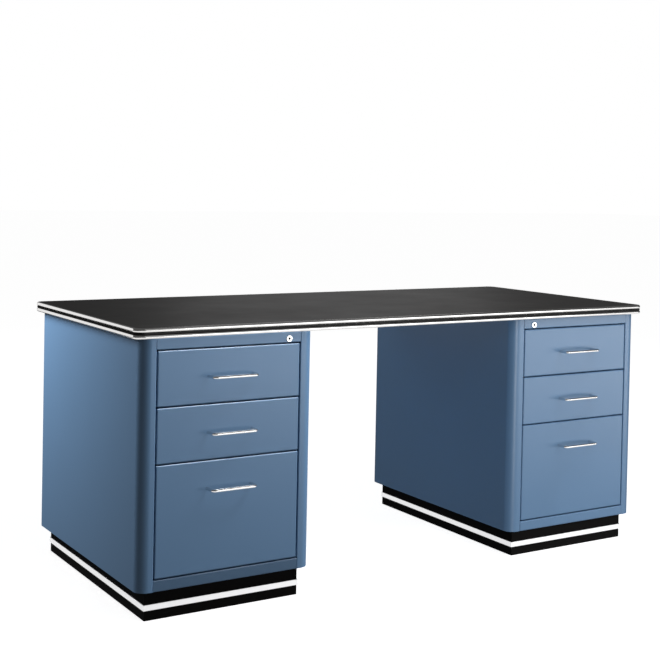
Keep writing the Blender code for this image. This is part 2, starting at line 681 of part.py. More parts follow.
def build_pedestal(label, side):
    kneehole = -side
    pedestal = anchor(label + "_pedestal_anchor", (side * PEDESTAL_CENTRE_X, PEDESTAL_FRONT_Y, 0))
    walled(
        label + "_pedestal_casing", casing_path(), PLINTH_HEIGHT, PEDESTAL_TOP, False, SHEET,
        "blue_lacquer", pedestal,
    )
    hole_x = across(kneehole, LOCK_INSET)
    hole = cylinder((hole_x, LOCK_Z), BARREL_RADIUS + FIT_GAP, -SHEET, 2 * SHEET, "Y", ROUND_SIDES)
    build_pan(label + "_pedestal_top_pan", PEDESTAL_TOP, OPENING_TOP, pedestal, [hole])
    build_pan(label + "_pedestal_bottom_pan", PLINTH_HEIGHT, OPENING_BOTTOM, pedestal)
    build_plinth(label, pedestal)
    bottom = OPENING_BOTTOM + DRAWER_GAP
    runner_heights = []
    for drawer, units in DRAWERS:
        build_drawer(label, drawer, units, bottom, kneehole, pedestal)
        runner_heights.append(bottom + RUNNER_RISE)
        bottom += units * UNIT_HEIGHT
    build_runner_frame(label, kneehole, runner_heights, pedestal)
    build_lock_bar(label, kneehole, runner_heights, pedestal)
    build_lock(label, kneehole, pedestal)


clear_scene()
PARTS = new_collection("teacher_desk")
CUTTERS = new_collection("cutters")
build_worktop()
for pedestal_label, pedestal_side in (("left", -1), ("right", 1)):
    build_pedestal(pedestal_label, pedestal_side)
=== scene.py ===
"""Finished look of a steel teacher's desk with two pedestals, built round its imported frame.

Metres, +Z up, the drawers' side is -Y. Every piece takes its place from the frame's nodes.
"""

import json
import math

import bmesh
import bpy
from bpy.props import FloatProperty, FloatVectorProperty, IntProperty, PointerProperty
from mathutils import Matrix, Vector

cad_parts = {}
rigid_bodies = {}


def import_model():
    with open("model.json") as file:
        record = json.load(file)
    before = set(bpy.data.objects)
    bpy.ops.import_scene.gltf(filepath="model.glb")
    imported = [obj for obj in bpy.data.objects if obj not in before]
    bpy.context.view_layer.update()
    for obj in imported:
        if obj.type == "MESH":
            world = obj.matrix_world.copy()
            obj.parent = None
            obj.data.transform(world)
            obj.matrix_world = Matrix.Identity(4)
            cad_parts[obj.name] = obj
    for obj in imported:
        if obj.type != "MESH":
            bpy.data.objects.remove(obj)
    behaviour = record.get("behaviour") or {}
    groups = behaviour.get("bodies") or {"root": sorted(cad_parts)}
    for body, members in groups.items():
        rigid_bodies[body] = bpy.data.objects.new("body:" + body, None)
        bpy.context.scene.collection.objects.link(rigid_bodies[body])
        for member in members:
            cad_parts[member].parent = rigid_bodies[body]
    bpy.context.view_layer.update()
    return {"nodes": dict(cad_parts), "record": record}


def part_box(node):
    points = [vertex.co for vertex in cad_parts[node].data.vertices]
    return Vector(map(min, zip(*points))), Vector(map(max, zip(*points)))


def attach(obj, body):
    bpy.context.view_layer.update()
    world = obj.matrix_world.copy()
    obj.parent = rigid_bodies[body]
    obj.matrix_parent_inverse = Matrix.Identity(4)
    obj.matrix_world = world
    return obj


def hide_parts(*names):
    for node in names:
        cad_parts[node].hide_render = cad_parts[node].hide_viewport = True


bl_info = {
    "name": "Teacher Desk",
    "version": (1, 0, 0),
    "blender": (4, 5, 0),
    "location": "3D View > Sidebar > Desk",
    "description": "Steel double-pedestal desk with a lined top and a beaded edge",
    "category": "Add Mesh",
}

for leftover in list(bpy.data.objects):
    bpy.data.objects.remove(leftover, do_unlink=True)
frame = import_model()

PEDESTALS = (("left", 1), ("right", -1))  # name, and the way from its middle to the kneehole along X
DRAWERS = ("file", "middle", "top")
POLISHED = ("nickel", "satin_metal")  # finishes that take none of the lights for paint
MIRRORS = ("nickel", "satin_metal", "zinc_steel")  # finishes that mirror the white cards
SMOOTH_ANGLE = math.radians(35)  # an edge that turns further stays sharp
EDGE_ANGLE = math.radians(40)  # an edge that turns further is broken
PIN_ANGLE = math.radians(45)  # of the lock's pin below the plug's axis when unlocked
WELD = 1e-5  # points closer than this are merged
SHEET_EDGE = 0.2  # width of a sheet's broken edges, as a share of its thickness
FLOOR_REACH = 40.0
SENSOR_WIDTH = 36.0  # in millimetres


# Sizes and colours

def length(name, description, default):
    return FloatProperty(
        name=name, description=description, default=default, min=0.0, unit="LENGTH", precision=5,
    )


def colour(name, description, default):
    return FloatVectorProperty(name=name, description=description, default=default, size=3, subtype="COLOR")


def share(name, description, default):
    return FloatProperty(
        name=name, description=description, default=default, min=0.0, max=1.0, subtype="FACTOR",
    )


def power(name, description, default):
    return FloatProperty(name=name, description=description, default=default, min=0.0, unit="POWER")


def plain(name, description, default):
    return FloatProperty(name=name, description=description, default=default)


def angle(name, description, degrees):
    return FloatProperty(name=name, description=description, default=math.radians(degrees), subtype="ANGLE")


class DeskShape(bpy.types.PropertyGroup):
    """Sizes of what the frame leaves plain: bends, edges, beads and folds."""

    top_radius: length("Top Corner Radius", "Outer radius of the worktop's corners", 0.026)
    bead_height: length("Bead Height", "Height of each bead of the metal edge", 0.0110)
    bead_depth: length("Bead Depth", "How far a bead stands out of the edge's web", 0.0042)
    lip_round: length("Lip Rounding", "Rounding of the metal edge's inner rim", 0.0006)
    sheet: length("Casing Sheet", "Thickness of the pedestals' sheet steel", 0.0012)
    casing_radius: length("Casing Radius", "Outer radius of the pedestals' upright corners", 0.030)
    bend: length("Bend Radius", "Outer radius of the folds round the drawer openings", 0.0025)
    flange: length("Flange Width", "Width of the casing's front flanges", 0.042)
    flange_return: length("Flange Return", "Depth of the flanges' turned-in edges", 0.010)
    rail_return: length("Rail Return", "Depth of the front rails' turned-in edges", 0.012)
    fit: length("Fit Gap", "Gap between two pieces that touch", 0.0003)
    front_round: length("Front Rounding", "Radius of a drawer front's edges", 0.0032)
    front_sheet: length("Front Sheet", "Thickness of a drawer front's sheet", 0.0010)
    front_rim: length("Front Rim", "Width of the turned-in rim behind a drawer front", 0.020)
    box_sheet: length("Box Sheet", "Thickness of a drawer box's sheet", 0.0010)
    box_round: length("Box Rounding", "Radius of a drawer box's folds", 0.0022)
    box_hem: length("Box Hem", "Width of the folded hem round a drawer box's rim", 0.006)
    handle_radius: length("Handle Radius", "Radius of the handle's rod", 0.004)
    handle_bend: length("Handle Bend", "Centre line radius of the handle's bends", 0.010)
    lock_bore: length("Lock Bore", "Radius of the hole in a lock's rosette", 0.0062)
    lock_plug: length("Lock Plug", "Radius of a lock's turning plug", 0.0060)
    lock_barrel: length("Lock Barrel", "Radius of the barrel behind a rosette", 0.0079)
    lock_rosette: length("Lock Rosette", "Depth of a rosette", 0.0025)
    lock_cup: length("Lock Cup", "Radius of the cup in a plug's face", 0.0038)
    lock_cup_depth: length("Lock Cup Depth", "Depth of the cup in a plug's face", 0.0016)
    lock_disc: length("Lock Disc", "Thickness of the disc on a plug's end", 0.0025)
    lock_pin: length("Lock Pin", "Radius of the pin that lifts the lock bar", 0.0020)
    plinth_board: length("Plinth Board", "Thickness of the plinth's boards", 0.018)
    band: length("Band Thickness", "Thickness of the metal band round a plinth", 0.0025)
    board_edge: length("Board Edge", "Width of the board's broken edges", 0.0005)
    lining_edge: length("Lining Edge", "Width of the lining's broken edges", 0.0004)
    plinth_edge: length("Plinth Edge", "Width of the plinths' broken edges", 0.0008)
    band_edge: length("Band Edge", "Width of the bands' broken edges", 0.0005)
    handle_edge: length("Handle Edge", "Width of the broken edges at a handle's ends", 0.0004)
    corner_steps: IntProperty(name="Corner Steps", description="Facets in a large corner", default=20, min=3)
    bend_steps: IntProperty(name="Bend Steps", description="Facets in a small bend", default=8, min=2)
    bead_steps: IntProperty(name="Bead Steps", description="Facets across a bead", default=20, min=4)
    round_steps: IntProperty(
        name="Round Steps", description="Facets round a rod or lock", default=48, min=12,
    )


class DeskFinish(bpy.types.PropertyGroup):
    """Colours and gloss of the desk's finishes."""

    enamel: colour("Enamel", "Blue enamel of the casings and drawer fronts", (0.143, 0.270, 0.456))
    enamel_gloss: share("Enamel Roughness", "Roughness of the blue enamel", 0.34)
    lining: colour("Lining", "Darkest tone of the worktop's lining", (0.024, 0.023, 0.023))
    lining_fleck: colour("Lining Fleck", "Lightest tone in the lining's marbling", (0.040, 0.037, 0.035))
    lining_gloss: share("Lining Roughness", "Roughness of the worktop's lining", 0.52)
    bright: colour("Bright Metal", "Polished nickel of the edge, handles and locks", (0.80, 0.79, 0.78))
    bright_gloss: share("Bright Metal Roughness", "Roughness of the polished nickel", 0.12)
    satin: colour("Satin Metal", "Brushed metal of the plinths' bands", (0.80, 0.80, 0.81))
    satin_gloss: share("Satin Roughness", "Roughness of the brushed metal", 0.36)
    zinc: colour("Zinc", "Zinc plating of the drawer boxes, runners and lock bars", (0.60, 0.62, 0.64))
    plinth: colour("Plinth Lacquer", "Black lacquer of the plinths", (0.0035, 0.003, 0.003))
    insert: colour("Insert", "Black strip in the metal edge's groove", (0.004, 0.004, 0.004))
    board: colour("Board", "Pressed board under the lining", (0.34, 0.23, 0.14))


class DeskStage(bpy.types.PropertyGroup):
    """Camera and studio light."""

    yaw: angle("Camera Yaw", "Turn from looking along +Y", -31.837)
    pitch: angle("Camera Pitch", "Tilt below the horizon", 1.2)
    roll: angle("Camera Roll", "Turn about the line of sight", 1.125)
    place: FloatVectorProperty(name="Camera Place", description="Where the camera stands", size=3,
                               default=(-2.1110, -3.2618, 1.1177), subtype="TRANSLATION")
    lens: plain("Lens", "Focal length in millimetres", 68.54)
    rise: plain("Lens Shift", "Vertical shift of the lens", -0.1807)
    key: power("Key Light", "Power of the softbox in front, high up", 2.0)
    right: power("Right Key", "Power that the right pedestal alone takes from the same place", 15.0)
    low: power("Low Light", "Power of the wide softbox far in front at the right", 27.0)
    side: power("Side Light", "Power of the softbox at the left, which only the left pedestal takes", 20.5)
    kneehole: power("Kneehole Light", "Power of the softbox behind, for the right pedestal alone", 2.2)
    edge: power("Edge Light", "Power of the strip that draws the left drawers' upper edges", 112.0)
    flank: power("Flank Cards", "Power of each card whose sheen falls on the right pedestal's flanks", 22.0)
    top: power("Top Light", "Power of the strip above the drawers", 22.0)
    back: power("Back Light", "Power of the screen behind the desk", 10.0)
    card: plain("Cards", "Brightness of the white cards that only the metals mirror", 0.88)
    ambient: plain("Ambient", "Strength of the even light from all round", 0.095)
    floor: colour("Floor", "Plain pale floor", (0.90, 0.90, 0.90))
    floor_glow: plain("Floor Glow", "Even light that the floor itself gives", 0.90)


# Shapes

def block(low, high):
    """A box between two corners."""
    bm = bmesh.new()
    size = Vector(high) - Vector(low)
    middle = (Vector(high) + Vector(low)) / 2
    bmesh.ops.create_cube(bm, size=1.0, matrix=Matrix.Translation(middle) @ Matrix.Diagonal((*size, 1.0)))
    return bm


def rounded(bm, edges, radius, steps):
    bmesh.ops.bevel(
        bm, geom=list(edges), offset=radius, segments=steps, affect="EDGES", profile=0.5, material=-1,
        offset_type="OFFSET", clamp_overlap=True,
    )


def upright(edge):
    """Whether an edge runs along Z."""
    a, b = edge.verts
    return abs(a.co.z - b.co.z) > (a.co.xy - b.co.xy).length


def slab(low, high, radius, steps):
    """A flat plate with rounded corners, seen from above."""
    bm = block(low, high)
    rounded(bm, filter(upright, bm.edges[:]), radius, steps)
    return bm


def moved_on(bm, edges, run):
    """Extrudes edges along a straight run and returns them at its end."""
    made = bmesh.ops.extrude_edge_only(bm, edges=edges)["geom"]
    verts = {v for v in made if isinstance(v, bmesh.types.BMVert)}
    bmesh.ops.translate(bm, vec=run, verts=list(verts))
    return [e for e in bm.edges if e.verts[0] in verts and e.verts[1] in verts]


def swept(bm, edges, start, corners, end, steps):
    """Carries edges from start to end round corners, each a point and a radius, leaving faces behind."""
    points = [Vector(start)] + [Vector(point) for point, _ in corners] + [Vector(end)]
    here = points[0]
    for before, corner, after, (_, radius) in zip(points, points[1:], points[2:], corners):
        way, turned = (corner - before).normalized(), (after - corner).normalized()
        axis, angle = way.cross(turned).normalized(), way.angle(turned)
        cut = radius * math.tan(angle / 2)
        stop = corner - way * cut
        edges = moved_on(bm, edges, stop - here)
        verts = list({v for e in edges for v in e.verts})
        centre = stop + axis.cross(way) * radius
        last = bmesh.ops.spin(
            bm, geom=verts + edges, cent=centre, axis=axis, angle=angle, steps=steps, use_merge=False,
        )["geom_last"]
        edges = [e for e in last if isinstance(e, bmesh.types.BMEdge)]
        here = corner + turned * cut
    return moved_on(bm, edges, points[-1] - here)


def line_of(bm, points, closed):
    """A chain of edges through a few points."""
    verts = [bm.verts.new(point) for point in points]
    pairs = list(zip(verts, verts[1:])) + ([(verts[-1], verts[0])] if closed else [])
    return [bm.edges.new(pair) for pair in pairs]


def round_of(bm, centre, axis, radius, steps):
    """A circle of edges round an axis."""
    turn = Vector((0, 0, 1)).rotation_difference(Vector(axis)).to_matrix().to_4x4()
    made = bmesh.ops.create_circle(
        bm, cap_ends=False, radius=radius, segments=steps, matrix=Matrix.Translation(centre) @ turn
    )
    return list({e for v in made["verts"] for e in v.link_edges})


def lathe(profile, centre, axis_name, steps):
    """A solid turned round an axis along X or Y, from (radius, place along the axis) points."""
    bm = bmesh.new()
    spread = {"X": lambda r, a: (a, 0, r), "Y": lambda r, a: (0, a, r)}[axis_name]
    edges = line_of(bm, [Vector(centre) + Vector(spread(r, a)) for r, a in profile], False)
    axis = Vector(spread(0, 1))
    bmesh.ops.spin(
        bm, geom=bm.verts[:] + edges, cent=centre, axis=axis, angle=2 * math.pi, steps=steps, use_merge=True,
    )
    bmesh.ops.remove_doubles(bm, verts=bm.verts, dist=WELD)
    return bm


def faced_out(bm, inside):
    """Turns an open sheet's faces away from a point that it wraps."""
    bmesh.ops.recalc_face_normals(bm, faces=bm.faces)
    outwards = sum(f.calc_area() * f.normal.dot(f.calc_center_median() - Vector(inside)) for f in bm.faces)
    if outwards < 0:
        bmesh.ops.reverse_faces(bm, faces=bm.faces)


def closed_up(bm):
    """Welds a solid's seams, caps its ends and turns its faces outwards."""
    bmesh.ops.remove_doubles(bm, verts=bm.verts, dist=WELD)
    bmesh.ops.holes_fill(bm, edges=[e for e in bm.edges if e.is_boundary], sides=0)
    bmesh.ops.recalc_face_normals(bm, faces=bm.faces)


# Pieces

def plain_object(name, bm):
    mesh = bpy.data.meshes.new(name)
    bm.to_mesh(mesh)
    bm.free()
    obj = bpy.data.objects.new(name, mesh)
    bpy.context.scene.collection.objects.link(obj)
    return obj


def sheet_wall(obj, thickness):
    """Gives a sheet its thickness, behind its faces."""
    solidify = obj.modifiers.new("wall", "SOLIDIFY")
    solidify.thickness = thickness
    solidify.offset = -1.0
    solidify.use_even_offset = True


def soft_edges(obj, width, steps=2):
    """Breaks the sharp edges."""
    bevel = obj.modifiers.new("soft_edges", "BEVEL")
    bevel.width = width
    bevel.segments = steps
    bevel.limit_method = "ANGLE"
    bevel.angle_limit = EDGE_ANGLE
    bevel.use_clamp_overlap = True


def applied(obj):
    """Turns an object's modifiers into plain mesh."""
    graph = bpy.context.evaluated_depsgraph_get()
    mesh = bpy.data.meshes.new_from_object(obj.evaluated_get(graph))
    obj.modifiers.clear()
    old, obj.data = obj.data, mesh
    bpy.data.meshes.remove(old)
    return obj


def combined(obj, operation, tools):
    """Joins an object with others or cuts it by them; the others are used up."""
    for tool in tools:
        modifier = obj.modifiers.new(operation.lower(), "BOOLEAN")
        modifier.operation = operation
        modifier.solver = "EXACT"
        modifier.object = tool
    applied(obj)
    for tool in tools:
        bpy.data.objects.remove(tool, do_unlink=True)
    return obj


def finished(obj, finish, body, nodes=()):
    """Smooths a piece, gives it its finish, and hangs it on the frame in place of its nodes."""
    obj.data.materials.clear()
    obj.data.materials.append(MATERIALS[finish])
    obj.data.shade_smooth()
    obj.data.set_sharp_from_angle(angle=SMOOTH_ANGLE)
    weighted = obj.modifiers.new("even_shading", "WEIGHTED_NORMAL")
    weighted.keep_sharp = True
    reached_by_studio(obj, finish)
    if obj.name.startswith("left_") and obj.name.endswith(("_face", "_top_pan", "_casing")):
        lit_by("left_fronts", obj)
    for label, _ in PEDESTALS:
        if obj.name.startswith(label):
            lit_by(label + "_pedestal", obj)
    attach(obj, body)
    if nodes:
        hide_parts(*nodes)
    return obj


# Finishes

MATERIALS = {}
RECEIVERS = {}


def lit_by(group, obj):
    """Adds a piece to the group that only some of the lights reach."""
    if group not in RECEIVERS:
        RECEIVERS[group] = bpy.data.collections.new(group)
    RECEIVERS[group].objects.link(obj)


def reached_by_studio(obj, finish):
    """Says which lights a piece takes: the white cards, the lights for paint, or both."""
    if finish in MIRRORS:
        lit_by("mirrors", obj)
    if finish not in POLISHED:
        lit_by("painted", obj)


def node(tree, kind, inputs=(), **attributes):
    """A shader node; an input given as a socket is linked, and any other value is set."""
    made = tree.nodes.new(kind)
    for key, value in attributes.items():
        setattr(made, key, value)
    for key, value in dict(inputs).items():
        if isinstance(value, bpy.types.NodeSocket):
            tree.links.new(value, made.inputs[key])
        else:
            made.inputs[key].default_value = value
    return made


def math_node(tree, operation, first, second):
    return node(tree, "ShaderNodeMath", {0: first, 1: second}, operation=operation).outputs[0]


def mix_colour(tree, factor, first, second, blend="MIX"):
    """Blends two colours; a plain colour is given as three numbers."""
    values = {0: factor}
    for key, value in ((6, first), (7, second)):
        values[key] = value if isinstance(value, bpy.types.NodeSocket) else (*value, 1.0)
    return node(tree, "ShaderNodeMix", values, data_type="RGBA", blend_type=blend).outputs[2]


def new_group(name, inputs, outputs):
    """An empty node group with float, colour or vector sockets."""
    tree = bpy.data.node_groups.new(name, "ShaderNodeTree")
    for way, sockets in (("INPUT", inputs), ("OUTPUT", outputs)):
        for socket, kind in sockets:
            tree.interface.new_socket(name=socket, in_out=way, socket_type=f"NodeSocket{kind}")
    return tree, tree.nodes.new("NodeGroupInput").outputs, tree.nodes.new("NodeGroupOutput").inputs


def noise(tree, scale, detail=2.0, roughness=0.5, vector=None):
    """Noise on the object's own coordinates."""
    vector = vector or node(tree, "ShaderNodeTexCoord").outputs["Object"]
    values = {"Vector": vector, "Scale": scale, "Detail": detail, "Roughness": roughness}
    return node(tree, "ShaderNodeTexNoise", values).outputs["Fac"]


def peel_group():
    """Orange peel of a sprayed finish over the slow waves of the sheet under it."""
    tree, given, out = new_group("Sprayed Surface", [("Peel Scale", "Float"), ("Waves", "Float")],
                                 [("Height", "Float"), ("Tone", "Float")])
    peel = noise(tree, given["Peel Scale"], detail=1.5)
    waves = noise(tree, 5.0, detail=1.0)
    wavy = math_node(tree, "MULTIPLY", waves, given["Waves"])
    tree.links.new(math_node(tree, "ADD", peel, wavy), out["Height"])
    tree.links.new(noise(tree, 1.7, detail=3.0), out["Tone"])


def marks_group():
    """Roughness that hands and cloths have left a little uneven."""
    inputs = [("Roughness", "Float"), ("Spread", "Float"), ("Scale", "Float")]
    tree, given, out = new_group("Handling Marks", inputs, [("Roughness", "Float")])
    smears = noise(tree, given["Scale"], detail=5.0, roughness=0.6)
    centred = math_node(tree, "SUBTRACT", smears, 0.5)
    offset = math_node(tree, "MULTIPLY", centred, given["Spread"])
    tree.links.new(math_node(tree, "ADD", given["Roughness"], offset), out["Roughness"])


def brushed_group():
    """Fine lines drawn along one direction."""
    outputs = [("Height", "Float"), ("Tone", "Float")]
    tree, given, out = new_group("Brushed Lines", [("Stretch", "Vector")], outputs)
    place = node(tree, "ShaderNodeTexCoord").outputs["Object"]
    both = {0: place, 1: given["Stretch"]}
    drawn = node(tree, "ShaderNodeVectorMath", both, operation="MULTIPLY").outputs[0]
    fine = noise(tree, 1.0, detail=3.0, roughness=0.7, vector=drawn)
    tree.links.new(fine, out["Height"])
    tree.links.new(fine, out["Tone"])


def dust_group():
    """A thin veil of dust on what faces up."""
    inputs = [("Color", "Color"), ("Dust", "Color"), ("Amount", "Float")]
    tree, given, out = new_group("Settled Dust", inputs, [("Color", "Color")])
    normal = node(tree, "ShaderNodeNewGeometry").outputs["Normal"]
    up = node(tree, "ShaderNodeSeparateXYZ", {0: normal}).outputs["Z"]
    facing = node(tree, "ShaderNodeMapRange", {"Value": up, "From Min": 0.6, "From Max": 1.0}).outputs[0]
    patchy = math_node(tree, "MULTIPLY", facing, noise(tree, 9.0, detail=6.0, roughness=0.65))
    amount = math_node(tree, "MULTIPLY", patchy, given["Amount"])
    mixed = node(tree, "ShaderNodeMix", {0: amount, 6: given["Color"], 7: given["Dust"]}, data_type="RGBA")
    tree.links.new(mixed.outputs[2], out["Color"])


def scuffs_group():
    """Pale scuffs close to the floor."""
    inputs = [("Height", "Float"), ("Amount", "Float")]
    tree, given, out = new_group("Floor Scuffs", inputs, [("Mask", "Float")])
    place = node(tree, "ShaderNodeTexCoord").outputs["Object"]
    height = node(tree, "ShaderNodeSeparateXYZ", {0: place}).outputs["Z"]
    values = {"Value": height, "From Min": given["Height"], "From Max": 0.0}
    low = node(tree, "ShaderNodeMapRange", values).outputs[0]
    stretched = node(tree, "ShaderNodeMapping", {"Vector": place, "Scale": (1.0, 1.0, 5.0)}).outputs[0]
    specks = noise(tree, 34.0, detail=8.0, roughness=0.75, vector=stretched)
    cut = node(tree, "ShaderNodeMapRange", {"Value": specks, "From Min": 0.58, "From Max": 0.66}).outputs[0]
    mask = math_node(tree, "MULTIPLY", math_node(tree, "MULTIPLY", low, cut), given["Amount"])
    tree.links.new(mask, out["Mask"])


def placed(tree, group, inputs):
    """A node group in a material, with that material's own values."""
    return node(tree, "ShaderNodeGroup", inputs, node_tree=bpy.data.node_groups[group]).outputs


def new_material(name, **constants):
    """A material with constants on its shader's own sockets; returns its node tree and that shader."""
    made = bpy.data.materials.new(name)
    made.use_nodes = True
    tree = made.node_tree
    shader = tree.nodes["Principled BSDF"]
    for key, value in constants.items():
        shader.inputs[key.replace("_", " ")].default_value = value
    MATERIALS[name] = made
    return tree, shader.inputs


def bumped(tree, surface, height, strength, distance):
    values = {"Height": height, "Strength": strength, "Distance": distance}
    tree.links.new(node(tree, "ShaderNodeBump", values).outputs[0], surface["Normal"])


def shaded(tree, tone, base, spread):
    """A colour that a tone from 0 to 1 makes lighter or darker by a share."""
    low = [c * (1 - spread) for c in base]
    high = [c * (1 + spread) for c in base]
    return mix_colour(tree, tone, low, high)


def blue_lacquer(finish):
    tree, surface = new_material("blue_lacquer", Specular_IOR_Level=0.7)
    spray = placed(tree, "Sprayed Surface", {"Peel Scale": 620.0, "Waves": 6.0})
    base = shaded(tree, spray["Tone"], finish.enamel, 0.05)
    dust = {"Color": base, "Dust": (0.5, 0.52, 0.55, 1.0), "Amount": 0.05}
    tree.links.new(placed(tree, "Settled Dust", dust)["Color"], surface["Base Color"])
    marks = placed(tree, "Handling Marks", {"Roughness": finish.enamel_gloss, "Spread": 0.10, "Scale": 7.0})
    tree.links.new(marks["Roughness"], surface["Roughness"])
    bumped(tree, surface, spray["Height"], 0.10, 0.0002)


def black_lacquer(finish):
    tree, surface = new_material("black_lacquer", Specular_IOR_Level=0.1)
    spray = placed(tree, "Sprayed Surface", {"Peel Scale": 480.0, "Waves": 2.0})
    scuffs = placed(tree, "Floor Scuffs", {"Height": 0.03, "Amount": 0.25})
    base = shaded(tree, spray["Tone"], finish.plinth, 0.15)
    tree.links.new(mix_colour(tree, scuffs["Mask"], base, (0.05, 0.048, 0.045)), surface["Base Color"])
    marks = placed(tree, "Handling Marks", {"Roughness": 0.6, "Spread": 0.2, "Scale": 12.0})
    tree.links.new(marks["Roughness"], surface["Roughness"])
    bumped(tree, surface, spray["Height"], 0.15, 0.0002)


def black_lining(finish):
    """Linoleum: marbling at two sizes, fine pores and a few dull smears."""
    tree, surface = new_material("black_lining", IOR=1.30)
    place = node(tree, "ShaderNodeTexCoord").outputs["Object"]
    drawn = node(tree, "ShaderNodeMapping", {"Vector": place, "Scale": (0.45, 1.0, 1.0)}).outputs[0]
    veins = noise(tree, 26.0, detail=7.0, roughness=0.62, vector=drawn)
    grains = noise(tree, 420.0, detail=3.0, roughness=0.6)
    marbled = math_node(tree, "ADD", math_node(tree, "MULTIPLY", veins, 0.65),
                        math_node(tree, "MULTIPLY", grains, 0.35))
    values = {"Value": marbled, "From Min": 0.36, "From Max": 0.66}
    spread = node(tree, "ShaderNodeMapRange", values).outputs[0]
    base = mix_colour(tree, spread, finish.lining, finish.lining_fleck)
    dust = {"Color": base, "Dust": (0.22, 0.21, 0.20, 1.0), "Amount": 0.05}
    tree.links.new(placed(tree, "Settled Dust", dust)["Color"], surface["Base Color"])
    marks = placed(tree, "Handling Marks", {"Roughness": finish.lining_gloss, "Spread": 0.16, "Scale": 4.0})
    tree.links.new(marks["Roughness"], surface["Roughness"])
    bumped(tree, surface, marbled, 0.25, 0.0002)


def black_insert(finish):
    tree, surface = new_material("black_insert", Roughness=0.5)
    lines = placed(tree, "Brushed Lines", {"Stretch": (40.0, 40.0, 1500.0)})
    tree.links.new(shaded(tree, lines["Tone"], finish.insert, 0.4), surface["Base Color"])
    bumped(tree, surface, lines["Height"], 0.2, 0.0001)


def nickel(finish):
    tree, surface = new_material("nickel", Metallic=1.0)
    lines = placed(tree, "Brushed Lines", {"Stretch": (14.0, 14.0, 900.0)})
    tree.links.new(shaded(tree, lines["Tone"], finish.bright, 0.05), surface["Base Color"])
    marks = placed(tree, "Handling Marks", {"Roughness": finish.bright_gloss, "Spread": 0.08, "Scale": 24.0})
    tree.links.new(marks["Roughness"], surface["Roughness"])
    bumped(tree, surface, lines["Height"], 0.008, 0.0001)


def satin_metal(finish):
    tree, surface = new_material("satin_metal", Metallic=1.0)
    lines = placed(tree, "Brushed Lines", {"Stretch": (9.0, 9.0, 2600.0)})
    tree.links.new(shaded(tree, lines["Tone"], finish.satin, 0.12), surface["Base Color"])
    marks = placed(tree, "Handling Marks", {"Roughness": finish.satin_gloss, "Spread": 0.12, "Scale": 30.0})
    tree.links.new(marks["Roughness"], surface["Roughness"])
    bumped(tree, surface, lines["Height"], 0.12, 0.0001)


def zinc_steel(finish):
    """Zinc plating: faint spangle and rolling lines."""
    tree, surface = new_material("zinc_steel", Metallic=1.0)
    place = node(tree, "ShaderNodeTexCoord").outputs["Object"]
    spangle = node(tree, "ShaderNodeTexVoronoi", {"Vector": place, "Scale": 75.0}).outputs["Color"]
    tone = node(tree, "ShaderNodeSeparateColor", {0: spangle}).outputs[0]
    lines = placed(tree, "Brushed Lines", {"Stretch": (500.0, 6.0, 500.0)})
    both = math_node(tree, "ADD", math_node(tree, "MULTIPLY", tone, 0.5),
                     math_node(tree, "MULTIPLY", lines["Tone"], 0.5))
    tree.links.new(shaded(tree, both, finish.zinc, 0.18), surface["Base Color"])
    marks = placed(tree, "Handling Marks", {"Roughness": 0.40, "Spread": 0.22, "Scale": 18.0})
    tree.links.new(marks["Roughness"], surface["Roughness"])
    bumped(tree, surface, lines["Height"], 0.08, 0.0001)


def board(finish):
    """Pressed board: chips of a few sizes."""
    tree, surface = new_material("board", Roughness=0.82)
    place = node(tree, "ShaderNodeTexCoord").outputs["Object"]
    flat = node(tree, "ShaderNodeMapping", {"Vector": place, "Scale": (1.0, 1.6, 3.0)}).outputs[0]
    chips = node(tree, "ShaderNodeTexVoronoi", {"Vector": flat, "Scale": 170.0}).outputs["Color"]
    tone = node(tree, "ShaderNodeSeparateColor", {0: chips}).outputs[0]
    tree.links.new(shaded(tree, tone, finish.board, 0.3), surface["Base Color"])
    bumped(tree, surface, tone, 0.3, 0.0002)


GROUPS = (peel_group, marks_group, brushed_group, dust_group, scuffs_group)
FINISHES = (blue_lacquer, black_lacquer, black_lining, black_insert, nickel, satin_metal, zinc_steel, board)


class DESK_OT_finishes(bpy.types.Operator):
    """Makes the shared surface effects and the desk's finishes, and lays them on the frame's own pieces"""

    bl_idname = "desk.finishes"
    bl_label = "Finishes"

    def execute(self, context):
        for group in GROUPS:
            group()
        for finish in FINISHES:
            finish(context.scene.desk_finish)
        slots = {entry["node"]: entry["material_slot"] for entry in frame["record"]["subparts"]}
        for name, obj in frame["nodes"].items():
            obj.data.materials.clear()
            obj.data.materials.append(MATERIALS[slots[name]])
            if slots[name] == "zinc_steel":
                reached_by_studio(obj, slots[name])
        return {"FINISHED"}


